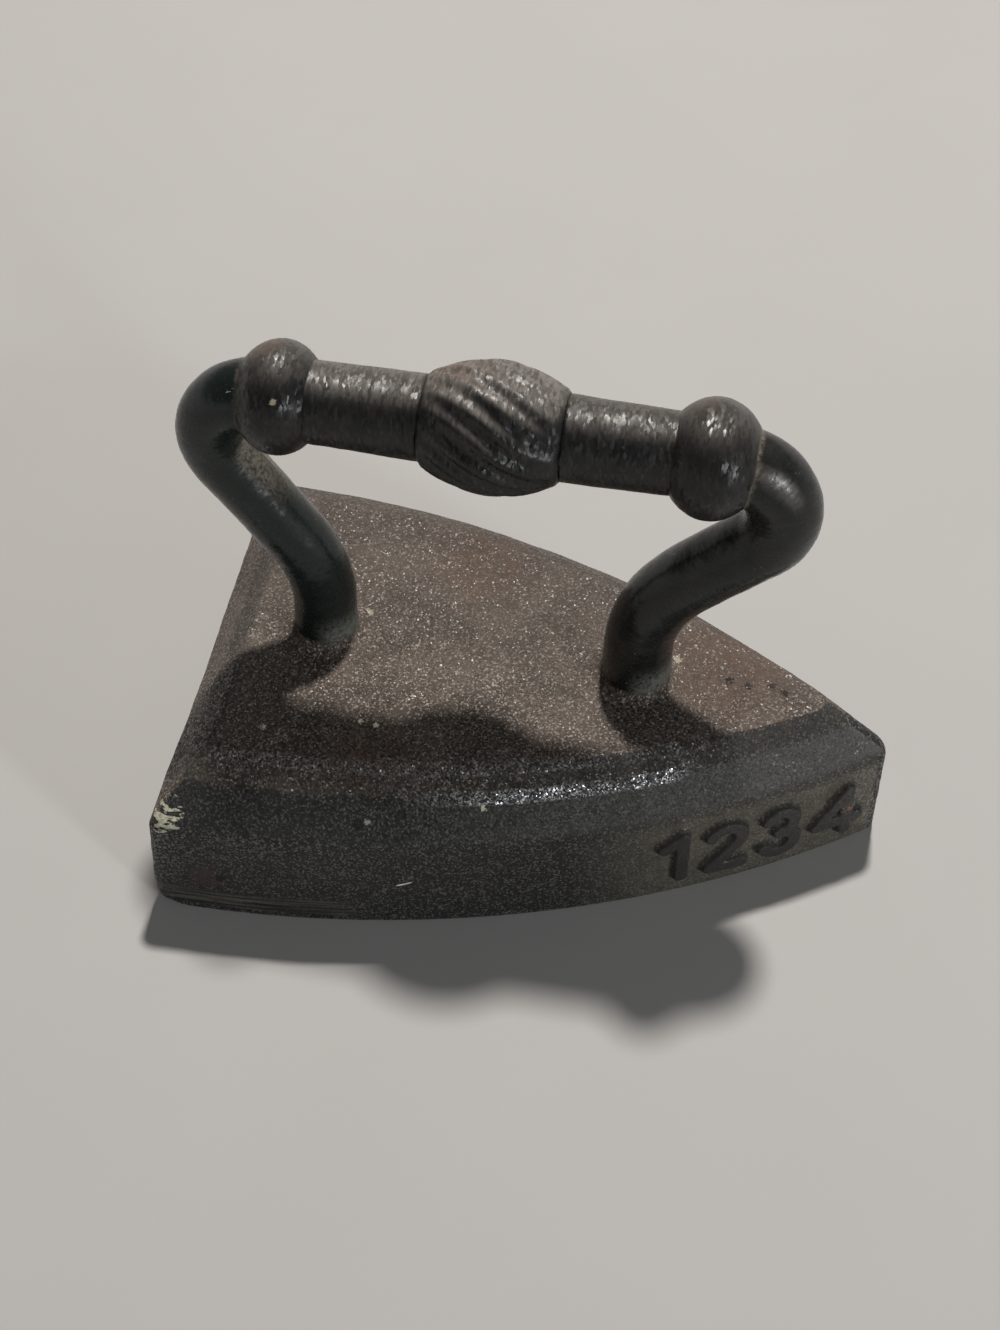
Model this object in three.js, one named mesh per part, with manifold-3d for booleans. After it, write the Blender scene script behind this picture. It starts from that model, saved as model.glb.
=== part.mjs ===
// A miniature cast iron flat iron: a solid body with a flat sole, and a bow handle on two
// swan-neck posts. The grip is a row of turned beads on a rod: ball, sleeve, knop, sleeve, ball.
// Millimetres. +X points to the toe, +Z is up, and the sole lies on Z = 0 with the origin
// at the middle of its length.

import * as THREE from 'three';
import { mergeVertices } from 'three/addons/utils/BufferGeometryUtils.js';
import Module from 'manifold-3d';

const wasm = await Module();
wasm.setup();

// Overall sizes
const SOLE_LENGTH = 90;
const HEEL_WIDTH = 60.6;
const OVERALL_HEIGHT = 71.25;

// Body: a drafted wall, a steep bevel, and a flatter chamfer up to the plate
const TOE_RADIUS = 1.9;
const HEEL_CORNER_RADIUS = 1.2;
const WALL_HEIGHT = 16.4;
const WALL_DRAFT = 0.7;
const BEVEL_RISE = 4.9;
const BEVEL_WIDTH = 4.25;
const CHAMFER_RISE = 2.7;
const CHAMFER_WIDTH = 3.65;
// The chamfer narrows between these shares of the sole's length, to a last share of its width.
const CHAMFER_FADE_START = 0.7;
const CHAMFER_FADE_END = 0.86;
const CHAMFER_TOE_SHARE = 0.12;
// The heel and toe of each level move in by these shares of the level's inset at the sides.
const HEEL_INSET_RATIO = 0.8;
const TOE_INSET_RATIO = 1.15;

// Grip, along X above the plate: its middle lies behind the sole's, and its balls stand apart,
// by shares of the sole's length
const GRIP_SET_BACK = 0.081;
const BALL_SPREAD = 0.547;
const REAR_BALL_DIAMETER = 13.2;
const REAR_BALL_LENGTH = 10.6;
const FRONT_BALL_DIAMETER = 13.8;
const FRONT_BALL_LENGTH = 11.8;
const SLEEVE_BALL_DIAMETER = 9.5;
const SLEEVE_KNOP_DIAMETER = 9.9;
const KNOP_LENGTH = 16;
const KNOP_END_DIAMETER = 10.5;
const KNOP_DIAMETER = 15.3;
const KNOP_RIDGES = 16;
const KNOP_RIDGE_HEIGHT = 0.65;
const KNOP_TWIST_TURNS = 0.2;
const ROD_DIAMETER = 6;

// Posts: each rises from its foot, leans outward and turns over the elbow into its ball,
// where it is a little thicker
const REAR_POST_DIAMETER = 7.9;
const FRONT_POST_DIAMETER = 8.6;
const REAR_ELBOW_DIAMETER = 8.5;
const FRONT_ELBOW_DIAMETER = 8.8;
// Distance of each foot from the grip's middle, as a share of its ball's.
const REAR_FOOT_SHARE = 0.862;
const FRONT_FOOT_SHARE = 0.756;
// The straight foot and the two bends of a post, as shares of the grip's rise above the plate.
const FOOT_STRAIGHT_SHARE = 0.152;
const FOOT_BEND_SHARE = 0.505;
const ELBOW_BEND_SHARE = 0.182;
const FOOT_FLARE = 1.5;
const ELBOW_REACH = 8.7;
// Share of a post's length after which it thickens.
const ELBOW_SWELL_START = 0.55;
// The joint face between post and ball leans back by this much at its lower edge.
const SEAT_TILT = THREE.MathUtils.degToRad(10);
const SPIGOT_ROOT = 1;
const TENON_DIAMETER = 6.8;
const TENON_LENGTH = 12;

// Countersunk screws, from the sole up into the tenons
const SCREW_DIAMETER = 3.6;
const SCREW_HEAD_DIAMETER = 7.2;
const SCREW_HEAD_RECESS = 0.6;
const SCREW_GRIP = 8;
const SCREW_SLOT_WIDTH = 1;
const SCREW_SLOT_DEPTH = 0.8;

// Fits
const JOINT_GAP = 0.2;
const FIT_CLEARANCE = 0.15;

// Fineness of the facets
const ROUND_SEGMENTS = 28;
const SMALL_SEGMENTS = 20;
const SIDE_SEGMENTS = 18;
const CORNER_SEGMENTS = 4;
const POST_SEGMENTS = 18;
const POST_STEPS = 42;
const KNOP_STEPS = 16;
const RIDGE_SEGMENTS = 4;
const ARC_STEPS = 10;

// Heights and places that follow from the sizes above
const bevelTop = WALL_HEIGHT + BEVEL_RISE;
const plateHeight = bevelTop + CHAMFER_RISE;
const gripHeight = OVERALL_HEIGHT - KNOP_DIAMETER / 2;
const gripX = -GRIP_SET_BACK * SOLE_LENGTH;
const ballOffset = (BALL_SPREAD * SOLE_LENGTH) / 2;
const gripRise = gripHeight - plateHeight;
const footTop = plateHeight + FOOT_STRAIGHT_SHARE * gripRise;
const footBend = FOOT_BEND_SHARE * gripRise;
const elbowBend = ELBOW_BEND_SHARE * gripRise;
const boreRadius = ROD_DIAMETER / 2 + FIT_CLEARANCE;
const footBase = plateHeight + JOINT_GAP;
const tenonEnd = plateHeight - TENON_LENGTH;
const screwTip = tenonEnd + SCREW_GRIP;
// A reach past the whole part, for cuts.
const beyond = SOLE_LENGTH;

const POSTS = [
  {
    end: 'rear',
    side: -1,
    footOffset: REAR_FOOT_SHARE * ballOffset,
    radius: REAR_POST_DIAMETER / 2,
    elbowRadius: REAR_ELBOW_DIAMETER / 2,
    ballRadius: REAR_BALL_DIAMETER / 2,
    ballHalfLength: REAR_BALL_LENGTH / 2,
  },
  {
    end: 'front',
    side: 1,
    footOffset: FRONT_FOOT_SHARE * ballOffset,
    radius: FRONT_POST_DIAMETER / 2,
    elbowRadius: FRONT_ELBOW_DIAMETER / 2,
    ballRadius: FRONT_BALL_DIAMETER / 2,
    ballHalfLength: FRONT_BALL_LENGTH / 2,
  },
];

const footX = (post) => gripX + post.side * post.footOffset;
const ballX = (post) => gripX + post.side * ballOffset;
// Distance from a ball's centre to the flat face that is as wide as what it meets.
const ballSeat = (post, radius) => post.ballHalfLength * Math.sqrt(1 - (radius / post.ballRadius) ** 2);
const postSeat = (post) => ballSeat(post, post.elbowRadius);
const sleeveSeat = (post) => ballSeat(post, SLEEVE_BALL_DIAMETER / 2);

// Solids from geometry, and back

function solid(geometry) {
  geometry.deleteAttribute('normal');
  geometry.deleteAttribute('uv');
  const merged = mergeVertices(geometry, 1e-4);
  const vertProperties = new Float32Array(merged.attributes.position.array);
  const triVerts = new Uint32Array(merged.index.array);
  return new wasm.Manifold(new wasm.Mesh({ numProp: 3, vertProperties, triVerts }));
}

function geometryOf(manifold) {
  const { vertProperties, triVerts } = manifold.getMesh();
  const geometry = new THREE.BufferGeometry();
  geometry.setAttribute('position', new THREE.BufferAttribute(vertProperties, 3));
  geometry.setIndex(new THREE.BufferAttribute(triVerts, 1));
  geometry.computeVertexNormals();
  return geometry;
}

// A skin over rings of points, closed by a fan at each end.
function loft(rings) {
  const count = rings[0].length;
  const positions = rings.flat().flatMap((point) => [point.x, point.y, point.z]);
  const faces = [];
  for (let ring = 0; ring + 1 < rings.length; ring++) {
    for (let i = 0; i < count; i++) {
      const a = ring * count + i;
      const b = ring * count + ((i + 1) % count);
      faces.push(a, b, b + count, a, b + count, a + count);
    }
  }
  const last = (rings.length - 1) * count;
  for (let i = 1; i + 1 < count; i++) {
    faces.push(0, i + 1, i);
    faces.push(last, last + i, last + i + 1);
  }
  const geometry = new THREE.BufferGeometry();
  geometry.setAttribute('position', new THREE.Float32BufferAttribute(positions, 3));
  geometry.setIndex(faces);
  return geometry;
}

// A turned solid from a profile of [radius, height] points, upright at x in the middle plane.
function turned(profile, x = 0, segments = ROUND_SEGMENTS) {
  const points = profile.map(([radius, height]) => new THREE.Vector2(radius, height));
  const geometry = new THREE.LatheGeometry(points, segments);
  geometry.rotateX(Math.PI / 2);
  geometry.translate(x, 0, 0);
  return solid(geometry);
}

// A turned solid lying along the grip's axis, from a profile of [radius, distance] points.
function turnedAlongGrip(profile, x = gripX, segments = ROUND_SEGMENTS) {
  const points = profile.map(([radius, distance]) => new THREE.Vector2(radius, distance));
  const geometry = new THREE.LatheGeometry(points, segments);
  geometry.rotateZ(-Math.PI / 2);
  geometry.translate(x, 0, gripHeight);
  return solid(geometry);
}

function block(width, depth, height, place) {
  const geometry = new THREE.BoxGeometry(width, depth, height);
  geometry.applyMatrix4(place);
  return solid(geometry);
}

// Body

// One level of the body in plan: straight heel with small corners, two arcs, a small round toe.
function levelOutline(inset, height) {
  const heelX = -SOLE_LENGTH / 2 + HEEL_INSET_RATIO * inset;
  const halfWidth = HEEL_WIDTH / 2 - inset;
  const toeX = SOLE_LENGTH / 2 - TOE_INSET_RATIO * inset - TOE_RADIUS;
  const sideX = heelX + HEEL_CORNER_RADIUS;
  const run = toeX - sideX;
  const sideRadius = (run ** 2 + halfWidth ** 2 - TOE_RADIUS ** 2) / (2 * (halfWidth - TOE_RADIUS));
  const toeAngle = Math.asin(run / (sideRadius - TOE_RADIUS));
  const outline = [];
  const arc = (x, y, radius, from, to, segments) => {
    for (let i = 0; i <= segments; i++) {
      const angle = from + ((to - from) * i) / segments;
      outline.push(new THREE.Vector3(x + radius * Math.cos(angle), y + radius * Math.sin(angle), height));
    }
  };
  const quarter = Math.PI / 2;
  const cornerY = halfWidth - HEEL_CORNER_RADIUS;
  const sideY = sideRadius - halfWidth;
  const sideStep = toeAngle / SIDE_SEGMENTS;
  arc(sideX, -cornerY, HEEL_CORNER_RADIUS, -2 * quarter, -quarter, CORNER_SEGMENTS);
  arc(sideX, sideY, sideRadius, sideStep - quarter, toeAngle - quarter, SIDE_SEGMENTS - 1);
  const toeStep = (quarter - toeAngle) / CORNER_SEGMENTS;
  const toeSpan = quarter - toeAngle - toeStep;
  arc(toeX, 0, TOE_RADIUS, -toeSpan, toeSpan, 2 * CORNER_SEGMENTS - 2);
  arc(sideX, -sideY, sideRadius, quarter - toeAngle, quarter - sideStep, SIDE_SEGMENTS - 1);
  arc(sideX, cornerY, HEEL_CORNER_RADIUS, quarter, 2 * quarter, CORNER_SEGMENTS);
  return outline;
}

// The hole for one post: tenon socket above, screw hole and countersink below.
function postHole(post) {
  const socketRadius = TENON_DIAMETER / 2 + FIT_CLEARANCE;
  const socketFloor = tenonEnd - JOINT_GAP;
  const screwRadius = SCREW_DIAMETER / 2 + FIT_CLEARANCE;
  const headRadius = SCREW_HEAD_DIAMETER / 2 + FIT_CLEARANCE;
  const coneBottom = SCREW_HEAD_RECESS + JOINT_GAP;
  const profile = [
    [0, -beyond],
    [headRadius, -beyond],
    [headRadius, coneBottom],
    [screwRadius, coneBottom + headRadius - screwRadius],
    [screwRadius, socketFloor],
    [socketRadius, socketFloor],
    [socketRadius, beyond],
    [0, beyond],
  ];
  return turned(profile, footX(post), SMALL_SEGMENTS);
}

// The line between bevel and chamfer: it closes in on the plate's edge towards the toe.
function shoulderOutline(plate) {
  const full = levelOutline(WALL_DRAFT + BEVEL_WIDTH, bevelTop);
  return full.map((point, i) => {
    const along = point.x / SOLE_LENGTH + 0.5;
    const fade = (CHAMFER_FADE_END - along) / (CHAMFER_FADE_END - CHAMFER_FADE_START);
    const share = THREE.MathUtils.clamp(fade, CHAMFER_TOE_SHARE, 1);
    return plate[i].clone().lerp(point, share);
  });
}

function makeBody() {
  const plate = levelOutline(WALL_DRAFT + BEVEL_WIDTH + CHAMFER_WIDTH, plateHeight);
  let body = solid(loft([
    levelOutline(0, 0),
    levelOutline(WALL_DRAFT, WALL_HEIGHT),
    shoulderOutline(plate),
    plate,
  ]));
  for (const post of POSTS) {
    body = body.subtract(postHole(post));
  }
  return body;
}

// Posts

// Midline of a post in the middle plane: up from the foot, out along a slope, over the elbow.
class SwanNeck extends THREE.Curve {
  constructor(post) {
    super();
    this.side = post.side;
    const bend = new THREE.Vector2(post.footOffset + footBend, footTop);
    const elbow = elbowCentre();
    const span = elbow.clone().sub(bend);
    const lean = Math.acos(-(elbowBend + footBend) / span.length()) - span.angle();
    this.path = new THREE.Path();
    this.path.moveTo(post.footOffset, footBase);
    this.path.lineTo(post.footOffset, footTop);
    this.path.absarc(bend.x, bend.y, footBend, Math.PI, Math.PI - lean, true);
    this.path.absarc(elbow.x, elbow.y, elbowBend, -lean, Math.PI / 2, false);
  }

  getPoint(t, target = new THREE.Vector3()) {
    const point = this.path.getPoint(t);
    return target.set(gripX + this.side * point.x, 0, point.y);
  }
}

// Centre of the elbow's bend, as distance from the grip's middle and height.
function elbowCentre() {
  return new THREE.Vector2(ballOffset + ELBOW_REACH - elbowBend, gripHeight - elbowBend);
}

// A frame that leans with a ball's joint face, at a distance outward from the ball's centre.
function seatFrame(post, distance) {
  const place = new THREE.Matrix4().makeTranslation(ballX(post), 0, gripHeight);
  place.multiply(new THREE.Matrix4().makeRotationY(post.side * SEAT_TILT));
  place.multiply(new THREE.Matrix4().makeTranslation(post.side * distance, 0, 0));
  return place;
}

// The foot under the tube: a flared rim on the plate and a tenon down into the body.
function foot(post) {
  const tenonRadius = TENON_DIAMETER / 2;
  const profile = [
    [0, tenonEnd],
    [tenonRadius, tenonEnd],
    [tenonRadius, footBase],
  ];
  for (let i = 0; i <= ARC_STEPS / 2; i++) {
    const angle = (Math.PI * i) / ARC_STEPS;
    const flare = FOOT_FLARE * (1 - Math.sin(angle));
    profile.push([post.radius + flare, footBase + FOOT_FLARE * (1 - Math.cos(angle))]);
  }
  profile.push([0, footBase + FOOT_FLARE]);
  return turned(profile, footX(post), POST_SEGMENTS);
}

// The round bar of a post along its midline, thickening through the elbow.
function neckTube(post) {
  const midline = new SwanNeck(post);
  const across = new THREE.Vector3(0, 1, 0);
  const rings = [];
  for (let step = 0; step <= POST_STEPS; step++) {
    const t = step / POST_STEPS;
    const centre = midline.getPointAt(t);
    const outward = across.clone().cross(midline.getTangentAt(t));
    const swell = THREE.MathUtils.smoothstep(t, ELBOW_SWELL_START, 1);
    const radius = post.radius + (post.elbowRadius - post.radius) * swell;
    const ring = [];
    for (let i = 0; i < POST_SEGMENTS; i++) {
      const angle = (2 * Math.PI * i) / POST_SEGMENTS;
      const point = centre.clone();
      point.addScaledVector(outward, radius * Math.cos(angle));
      point.addScaledVector(across, radius * Math.sin(angle));
      ring.push(point);
    }
    rings.push(ring);
  }
  return loft(rings);
}

function makePost(post) {
  const seat = postSeat(post) + JOINT_GAP;
  const spigotEnd = JOINT_GAP;
  const spigotLength = seat + SPIGOT_ROOT - spigotEnd;
  const cutPlace = seatFrame(post, seat - beyond / 2);
  const spigotProfile = [
    [0, 0],
    [ROD_DIAMETER / 2, 0],
    [ROD_DIAMETER / 2, spigotLength],
    [0, spigotLength],
  ];
  const spigotStart = post.side > 0 ? spigotEnd : -spigotEnd - spigotLength;
  const threadRadius = SCREW_DIAMETER / 2 + FIT_CLEARANCE;
  const threadProfile = [
    [0, tenonEnd - JOINT_GAP],
    [threadRadius, tenonEnd - JOINT_GAP],
    [threadRadius, screwTip + JOINT_GAP],
    [0, screwTip + JOINT_GAP],
  ];
  return solid(neckTube(post))
    .subtract(block(beyond, beyond, 2 * elbowBend, cutPlace))
    .add(turnedAlongGrip(spigotProfile, ballX(post) + spigotStart, SMALL_SEGMENTS))
    .add(foot(post))
    .subtract(turned(threadProfile, footX(post), SMALL_SEGMENTS));
}

// Grip

// A bead with a flat face towards its sleeve, a leaning flat face towards its post, and a bore.
function makeBall(post) {
  const start = -Math.asin(sleeveSeat(post) / post.ballHalfLength);
  const stop = Math.acos(boreRadius / post.ballRadius);
  const profile = [[boreRadius, -post.side * sleeveSeat(post)]];
  for (let i = 0; i <= ARC_STEPS; i++) {
    const angle = start + ((stop - start) * i) / ARC_STEPS;
    profile.push([post.ballRadius * Math.cos(angle), post.side * post.ballHalfLength * Math.sin(angle)]);
  }
  profile.push(profile[0]);
  if (post.side < 0) {
    profile.reverse();
  }
  const ball = turnedAlongGrip(profile, ballX(post));
  return ball.subtract(block(beyond, beyond, beyond, seatFrame(post, postSeat(post) + beyond / 2)));
}

// The plain stretch of grip between a ball and the knop, slightly thicker towards the knop.
function makeSleeve(post) {
  const near = KNOP_LENGTH / 2 + JOINT_GAP;
  const far = ballOffset - sleeveSeat(post) - JOINT_GAP;
  const profile = [
    [boreRadius, post.side * near],
    [SLEEVE_KNOP_DIAMETER / 2, post.side * near],
    [SLEEVE_BALL_DIAMETER / 2, post.side * far],
    [boreRadius, post.side * far],
    [boreRadius, post.side * near],
  ];
  if (post.side < 0) {
    profile.reverse();
  }
  return turnedAlongGrip(profile);
}

// A barrel whose rounded ridges slant round it and fade out at both ends.
function makeKnop() {
  const count = KNOP_RIDGES * RIDGE_SEGMENTS;
  const halfLength = KNOP_LENGTH / 2;
  const endRadius = KNOP_END_DIAMETER / 2;
  const swell = KNOP_DIAMETER / 2 - endRadius;
  const rings = [];
  for (let step = 0; step <= KNOP_STEPS; step++) {
    const along = (2 * step) / KNOP_STEPS - 1;
    const fullness = 1 - along ** 2;
    const ring = [];
    for (let i = 0; i < count; i++) {
      const turn = (2 * Math.PI * i) / count;
      const angle = turn + Math.PI * KNOP_TWIST_TURNS * along;
      const groove = (KNOP_RIDGE_HEIGHT * fullness * (1 - Math.cos(KNOP_RIDGES * turn))) / 2;
      const radius = endRadius + swell * fullness - groove;
      ring.push(new THREE.Vector3(
        gripX + halfLength * along,
        radius * Math.cos(angle),
        gripHeight + radius * Math.sin(angle),
      ));
    }
    rings.push(ring);
  }
  const boreProfile = [
    [0, -KNOP_LENGTH],
    [boreRadius, -KNOP_LENGTH],
    [boreRadius, KNOP_LENGTH],
    [0, KNOP_LENGTH],
  ];
  return solid(loft(rings)).subtract(turnedAlongGrip(boreProfile));
}

function makeRod() {
  const reach = ballOffset - JOINT_GAP;
  const radius = ROD_DIAMETER / 2;
  return turnedAlongGrip([[0, -reach], [radius, -reach], [radius, reach], [0, reach]]);
}

// Screws

function makeScrew(post) {
  const radius = SCREW_DIAMETER / 2;
  const headRadius = SCREW_HEAD_DIAMETER / 2;
  const profile = [
    [0, SCREW_HEAD_RECESS],
    [headRadius, SCREW_HEAD_RECESS],
    [radius, SCREW_HEAD_RECESS + headRadius - radius],
    [radius, screwTip],
    [0, screwTip],
  ];
  const slotCentre = new THREE.Matrix4().makeTranslation(footX(post), 0, SCREW_HEAD_RECESS);
  const slot = block(SCREW_SLOT_WIDTH, SCREW_HEAD_DIAMETER + JOINT_GAP, 2 * SCREW_SLOT_DEPTH, slotCentre);
  return turned(profile, footX(post), SMALL_SEGMENTS).subtract(slot);
}

// Assembly

const castBrown = { color: 0x3b332d, roughness: 0.78, metalness: 0.55 };
const castBlack = { color: 0x2a2a2b, roughness: 0.55, metalness: 0.6 };
const steel = { color: 0x77787a, roughness: 0.45, metalness: 0.9 };

const miniatureIron = new THREE.Group();

function addPiece(name, manifold, finish) {
  const piece = new THREE.Mesh(geometryOf(manifold), new THREE.MeshStandardMaterial(finish));
  piece.name = name;
  miniatureIron.add(piece);
}

addPiece('iron_body', makeBody(), castBrown);
addPiece('grip_rod', makeRod(), steel);
addPiece('twisted_knop', makeKnop(), castBlack);
for (const post of POSTS) {
  addPiece(`${post.end}_post`, makePost(post), castBlack);
  addPiece(`${post.end}_grip_ball`, makeBall(post), castBlack);
  addPiece(`${post.end}_grip_sleeve`, makeSleeve(post), castBlack);
  addPiece(`${post.end}_post_screw`, makeScrew(post), steel);
}

export default miniatureIron;
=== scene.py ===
"""Looks of a miniature cast iron flat iron: rusty body, black bow handle, plain studio light."""

import math

import bmesh
import bpy
import numpy as np
from mathutils import Matrix, Vector, noise


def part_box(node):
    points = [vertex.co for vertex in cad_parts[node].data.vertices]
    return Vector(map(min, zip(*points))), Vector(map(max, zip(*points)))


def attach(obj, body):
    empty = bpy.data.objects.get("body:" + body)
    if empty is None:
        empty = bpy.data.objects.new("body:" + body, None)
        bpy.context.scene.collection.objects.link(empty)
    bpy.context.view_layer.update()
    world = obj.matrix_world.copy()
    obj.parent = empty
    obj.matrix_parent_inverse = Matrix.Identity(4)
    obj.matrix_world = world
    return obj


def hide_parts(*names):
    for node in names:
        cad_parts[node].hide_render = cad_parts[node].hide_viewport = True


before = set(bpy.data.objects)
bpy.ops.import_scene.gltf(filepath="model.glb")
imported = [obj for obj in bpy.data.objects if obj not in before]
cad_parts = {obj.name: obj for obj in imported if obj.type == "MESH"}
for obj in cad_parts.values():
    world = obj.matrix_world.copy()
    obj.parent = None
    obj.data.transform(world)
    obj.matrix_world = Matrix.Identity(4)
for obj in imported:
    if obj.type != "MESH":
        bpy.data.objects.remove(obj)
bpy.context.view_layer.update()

MM = 0.001


def box_mm(node):
    low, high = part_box(node)
    return np.array(low) / MM, np.array(high) / MM


# Sizes that the frame gives, in millimetres
body_low, body_high = box_mm("iron_body")
HALF_LENGTH = (body_high[0] - body_low[0]) / 2
HALF_WIDTH = (body_high[1] - body_low[1]) / 2
PLATE_HEIGHT = body_high[2]
rod_low, rod_high = box_mm("grip_rod")
GRIP_X = (rod_low[0] + rod_high[0]) / 2
GRIP_HEIGHT = (rod_low[2] + rod_high[2]) / 2
JOINT_GAP = 0.2
BALL_OFFSET = (rod_high[0] - rod_low[0]) / 2 + JOINT_GAP
GRIP_RISE = GRIP_HEIGHT - PLATE_HEIGHT

# Body
TOE_RADIUS = 1.9
HEEL_CORNER_RADIUS = 1.2
WALL_HEIGHT = 16.4
WALL_DRAFT = 0.7
BEVEL_TOP = 21.3
BEVEL_INSET = 4.95
PLATE_INSET = 8.6
HEEL_INSET_RATIO = 0.8
TOE_INSET_RATIO = 1.15
CHAMFER_FADE_START = 0.7
CHAMFER_FADE_END = 0.86
CHAMFER_TOE_SHARE = 0.12
SOLE_EDGE_ROUND = 0.6
HEEL_EDGE_ROUND = 2.4
HEEL_BULGE = 0.7
WALL_TOP_ROUND = 1.3
SHOULDER_ROUND = 0.8
PLATE_EDGE_ROUND = 1.2

# Most that a rounded edge takes of the chamfer and of any other side
CHAMFER_ROUND_SHARE = 0.3
SIDE_ROUND_SHARE = 0.48

# Where the heel's edge rounds off and the heel bulges, by distance back and by height
HEEL_ROUND_ZONE = (HALF_LENGTH - 4, HALF_LENGTH - 0.5)
HEEL_BULGE_ZONE = (HALF_LENGTH - 2.5, HALF_LENGTH - 1)
BULGE_FOOT = (0.5, 6)

# Lumps of the casting, as size and depth, and the height that they start at
BODY_LUMPS = ((14, 0.1), (3.2, 0.07))
BAR_LUMPS = ((6, 0.07), (1.8, 0.03))
LUMP_OCTAVES = 3
FLAT_SOLE_ZONE = (0.2, 1.5)

# Raised numerals on the near wall, by distance along the side from the heel
NUMERALS = ("1", "2", "3", "4")
NUMERAL_START = 63.7
NUMERAL_BASE = 3.7
NUMERAL_HEIGHT = 9.5
NUMERAL_GAP = 2.15
NUMERAL_STROKE = 2.2
NUMERAL_EDGE = 0.38
NUMERAL_RELIEF = 1.0

# Posts
FOOT_STRAIGHT = 0.152 * GRIP_RISE
FOOT_BEND = 0.505 * GRIP_RISE
ELBOW_BEND = 0.182 * GRIP_RISE
ELBOW_REACH = 8.7
ELBOW_SWELL_START = 0.55
FOOT_FLARE = 1.5
FOOT_DEPTH = 0.25

# Knop, sleeves and balls
KNOP_END_RADIUS = 5.25
KNOP_RIDGES = 16
KNOP_RIDGE_HEIGHT = 0.65
KNOP_TWIST = 0.2 * math.pi
KNOP_UNEVENNESS = 0.15
KNOP_TOP_WEAR = 0.5
KNOP_TOP_ZONE = (0.35, 0.9)
EDGE_ROUND = 0.25
SLEEVE_TAPER = 0.2
SLEEVE_TUCK = 1
BALL_END_ANGLE = 82

# Screw holes
FIT_CLEARANCE = 0.15
SHANK_HOLE_RADIUS = 1.95
SHANK_HOLE_DEPTH = 1
HOLE_STEPS = 40

# Light directions, from the object
KEY_DIRECTION = (0, 0.405, 0.914)
FILL_DIRECTION = (0.78, -0.55, 0.29)
UNDER_DIRECTION = (0.3, -0.4, -0.87)

# Sides: of the balls with rust, of the front elbow with a painted sheen, and of the feet with a patina
RUST_DIRECTION = np.array([-0.4, 0.55, 0.73])
SHEEN_DIRECTION = np.array([0.4, -0.755, 0.52])
PATINA_DIRECTION = np.array([0.85, -0.5, 0.15])

# Fineness of the handle
BAR_STEPS = 56
PATH_STEP = 0.35
FLARE_STEPS = 10
ELBOW_POINTS = 24
BALL_RINGS = 48
SLEEVE_RINGS = 60
KNOP_RINGS = 72
STEPS_PER_RIDGE = 14

# The two ends of the handle: sizes, and how strong each look is there
POSTS = {
    "rear": {
        "side": -1,
        "radius": 3.95,
        "elbow_radius": 4.25,
        "ball_half_length": 5.3,
        "ball_rust": 0.85,
        "crease_dust": 0.25,
        "inner_dust_and_sheen": 1.0,
        # Sheen painted round the fill lamp's highlight on the elbow
        "elbow_sheen": 0.0,
        # Painted highlight on top, partly rubbed wear
        "sheen_and_rub": 0.85,
        "tint": 0.75,
    },
    "front": {
        "side": 1,
        "radius": 4.3,
        "elbow_radius": 4.4,
        "ball_half_length": 5.9,
        "ball_rust": 0.35,
        "crease_dust": 0.65,
        "inner_dust_and_sheen": 0.05,
        # Sheen painted round the fill lamp's highlight on the elbow
        "elbow_sheen": 0.9,
        # Painted highlight on top, partly rubbed wear
        "sheen_and_rub": 0.64,
        "tint": 0.2,
    },
}


def smooth(x, low, high):
    t = np.clip((np.asarray(x, float) - low) / (high - low), 0, 1)
    return t * t * (3 - 2 * t)


def fade(x, low, high):
    return 1 - smooth(x, low, high)


def band(x, rise, fall):
    return smooth(x, *rise) * fade(x, *fall)


def lumps(points, layers):
    """Soft unevenness of a casting at each point, about plus or minus the depth of each layer."""
    total = np.zeros(len(points))
    for size, depth in layers:
        total += depth * np.array([noise.fractal(Vector(p) / size, 1.0, 2.0, LUMP_OCTAVES) for p in points])
    return total


# Meshes


def make_piece(name, bm, material, attributes):
    """A mesh object in metres from a bmesh in millimetres, with its vertex values."""
    mesh = bpy.data.meshes.new(name)
    bmesh.ops.scale(bm, vec=(MM, MM, MM), verts=bm.verts)
    bmesh.ops.recalc_face_normals(bm, faces=bm.faces)
    bm.to_mesh(mesh)
    bm.free()
    for label, values in attributes.items():
        kind = "FLOAT" if values.ndim == 1 else "FLOAT_VECTOR"
        layer = mesh.attributes.new(label, kind, "POINT")
        layer.data.foreach_set("value" if values.ndim == 1 else "vector", values.astype(np.float32).ravel())
    mesh.shade_smooth()
    piece = bpy.data.objects.new(name, mesh)
    bpy.context.scene.collection.objects.link(piece)
    mesh.materials.append(material)
    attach(piece, "root")
    return piece


def skin(rings, close_start=True, close_end=True):
    """A bmesh over rings of points, each joined to the next, with a face over each closed end."""
    bm = bmesh.new()
    grid = [[bm.verts.new(p) for p in ring] for ring in rings]
    count = len(grid[0])
    for lower, upper in zip(grid, grid[1:]):
        for i in range(count):
            j = (i + 1) % count
            bm.faces.new((lower[i], lower[j], upper[j], upper[i]))
    for ring, wanted in ((grid[0], close_start), (grid[-1], close_end)):
        if wanted:
            bm.faces.new(ring)
    return bm


def fillet(before, corner, after, radius, count):
    """Rings that round one corner of the profile, from the side of before to that of after."""

    def short_of(point):
        step = point - corner
        length = np.linalg.norm(step, axis=1, keepdims=True)
        return corner + step * np.minimum(radius / length, SIDE_ROUND_SHARE)

    start = short_of(before)
    stop = short_of(after)
    shares = np.linspace(0, 1, count)
    return [(1 - s) ** 2 * start + 2 * s * (1 - s) * corner + s**2 * stop for s in shares]


def between(first, last, count):
    return [first + (last - first) * s for s in np.linspace(0, 1, count + 2)[1:-1]]


# Body

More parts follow.
